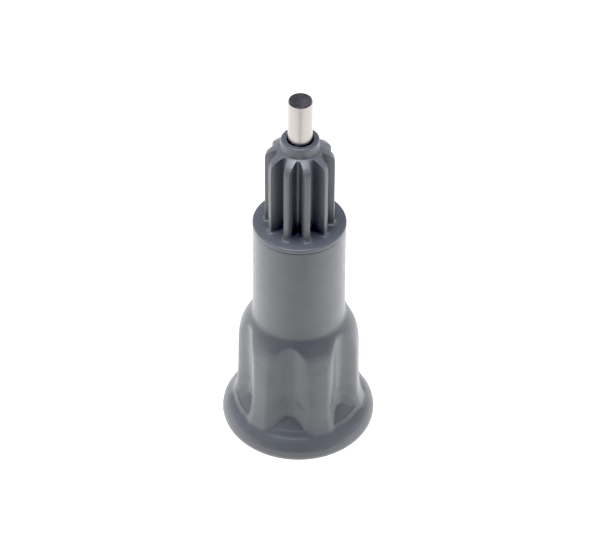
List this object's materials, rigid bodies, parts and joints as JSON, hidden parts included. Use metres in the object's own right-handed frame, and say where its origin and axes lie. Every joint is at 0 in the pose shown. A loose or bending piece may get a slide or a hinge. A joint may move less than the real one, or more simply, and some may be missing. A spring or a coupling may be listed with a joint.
{
  "type": "pinion drive spindle",
  "caption": "Moulded drive spindle with a bell-shaped fluted coupling socket, a plain barrel, a straight pinion and a steel axle pin that stands out of its collar.",
  "frame": {"origin": "on the axle's axis, in the plane of the bell lip's flat underside", "axes": "+Z along the axle, from the socket end to the free end of the pin; one lobe of the coupling faces -Y"},
  "size_m": [0.0336, 0.0336, 0.088],
  "materials": {
    "coupling_plastic": "satin moulded grey plastic",
    "pinion_plastic": "satin moulded grey plastic",
    "axle_steel": "ground bright steel",
    "bush_bronze": "sintered bronze",
    "washer_steel": "stamped steel",
    "clip_steel": "dark spring steel"
  },
  "bodies": {
    "axle": {"axle_pin": "axle_steel", "thrust_washer": "washer_steel", "retaining_clip": "clip_steel"},
    "spindle": {"coupling_body": "coupling_plastic", "pinion": "pinion_plastic", "upper_bush": "bush_bronze", "lower_bush": "bush_bronze"}
  },
  "joints": [
    {"name": "spindle_spin", "type": "hinge", "parent": "axle", "child": "spindle", "pos_m": [0, 0, 0], "axis": [0, 0, 1], "continuous": true}
  ]
}
